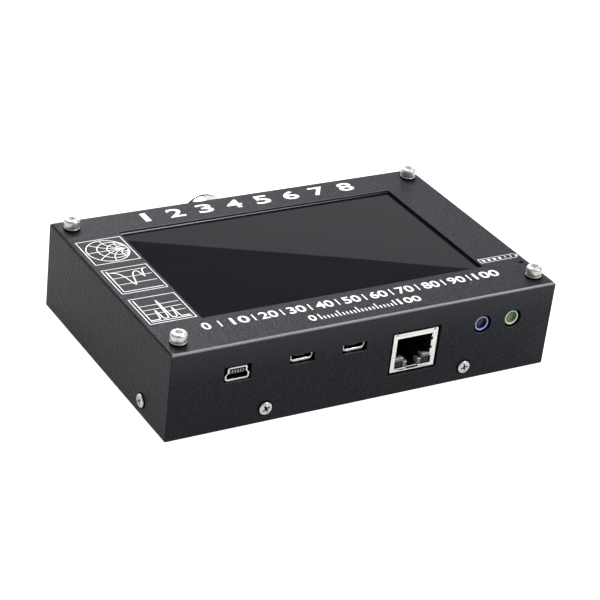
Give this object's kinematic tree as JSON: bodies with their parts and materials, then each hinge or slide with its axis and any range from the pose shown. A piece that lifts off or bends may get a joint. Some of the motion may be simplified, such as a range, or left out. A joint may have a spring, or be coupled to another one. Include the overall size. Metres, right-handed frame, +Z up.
{
  "type": "antenna analyzer",
  "caption": "Flat handheld antenna analyzer: sheet-metal case round a touch display, with data, network and audio sockets in front, a coaxial jack behind and a rocker switch.",
  "frame": {"origin": "centre of the underside of the case", "axes": "+X to the right as the front wall with the sockets is seen, +Y from that wall towards the rear wall with the coaxial jack, +Z up through the display"},
  "size_m": [0.1388, 0.1078, 0.0331],
  "materials": {
    "case_paint": "charcoal paint with a fine sand texture, satin",
    "polished_steel": "stainless steel, polished",
    "button_case": "thin pressed steel, satin",
    "plated_shell": "tin plated sheet, satin",
    "nickel_plating": "bright nickel plating",
    "gold_plating": "thin gold plating, bright",
    "bare_brass": "machined brass",
    "display_glass": "black touch glass, polished",
    "display_back": "matt grey",
    "ribbon_film": "amber film, satin",
    "main_board_resist": "dark blue circuit board, satin",
    "charger_resist": "blue circuit board, satin",
    "radio_board_resist": "black circuit board, satin",
    "black_plastic": "black moulded plastic",
    "blue_button_plastic": "blue moulded plastic",
    "blue_jack_plastic": "pale blue moulded plastic",
    "green_jack_plastic": "pale green moulded plastic",
    "white_insulator": "white insulator",
    "white_plastic": "off-white moulded plastic",
    "battery_foil": "silver foil pouch, satin",
    "red_insulation": "red wire insulation",
    "black_insulation": "black wire insulation",
    "lamp_lens": "tinted lamp lens"
  },
  "bodies": {
    "case": {"battery_cell": "battery_foil", "battery_lead_black": "black_insulation", "battery_lead_red": "red_insulation", "battery_plug": "white_plastic", "board_screw_front_left": "polished_steel", "board_screw_front_right": "polished_steel", "board_screw_rear_left": "polished_steel", "board_screw_rear_right": "polished_steel", "bottom_cover": "case_paint", "charge_lamp": "lamp_lens", "charge_socket": "plated_shell", "charger_board": "charger_resist", "display_panel": "display_back", "display_ribbon": "ribbon_film", "ethernet_contacts": "gold_plating", "ethernet_insert": "black_plastic", "ethernet_shield": "plated_shell", "line_in_jack": "blue_jack_plastic", "line_out_jack": "green_jack_plastic", "main_board": "main_board_resist", "micro_usb_left_insert": "black_plastic", "micro_usb_left_shell": "plated_shell", "micro_usb_right_insert": "black_plastic", "micro_usb_right_shell": "plated_shell", "mini_usb_insert": "black_plastic", "mini_usb_shell": "plated_shell", "pin_strip_left": "black_plastic", "pin_strip_right": "black_plastic", "reset_button_body": "button_case", "rf_board": "radio_board_resist", "rf_can": "plated_shell", "rf_jack_body": "nickel_plating", "rf_jack_insulator": "white_insulator", "rf_jack_nut": "nickel_plating", "rf_jack_pin": "gold_plating", "side_screw_front_left": "polished_steel", "side_screw_front_right": "polished_steel", "side_screw_left": "polished_steel", "side_screw_rear_left": "polished_steel", "side_screw_rear_right": "polished_steel", "side_screw_right": "polished_steel", "socket_strip_left": "black_plastic", "socket_strip_right": "black_plastic", "standoff_front_left": "bare_brass", "standoff_front_right": "bare_brass", "standoff_rear_left": "bare_brass", "standoff_rear_right": "bare_brass", "switch_housing": "black_plastic", "switch_lead_front": "red_insulation", "switch_lead_rear": "red_insulation", "top_cover": "case_paint", "top_screw_front_left": "polished_steel", "top_screw_front_right": "polished_steel", "top_screw_rear_left": "polished_steel", "top_screw_rear_right": "polished_steel", "touch_glass": "display_glass", "user_button_body": "button_case"},
    "rocker": {"switch_rocker": "black_plastic"},
    "reset_plunger": {"reset_button": "black_plastic"},
    "user_plunger": {"user_button": "blue_button_plastic"}
  },
  "joints": [
    {"name": "rocker_hinge", "type": "hinge", "parent": "case", "child": "rocker", "pos_m": [0.0675, 0.01, 0.0156], "axis": [0, 0, -1], "range_deg": [0, 16]},
    {"name": "reset_press", "type": "slide", "parent": "case", "child": "reset_plunger", "axis": [0, 0, 1], "range_m": [0, 0.00025], "stiffness_N_per_m": 400, "springref_m": -0.0005},
    {"name": "user_press", "type": "slide", "parent": "case", "child": "user_plunger", "axis": [0, 0, 1], "range_m": [0, 0.00025], "stiffness_N_per_m": 400, "springref_m": -0.0005}
  ]
}
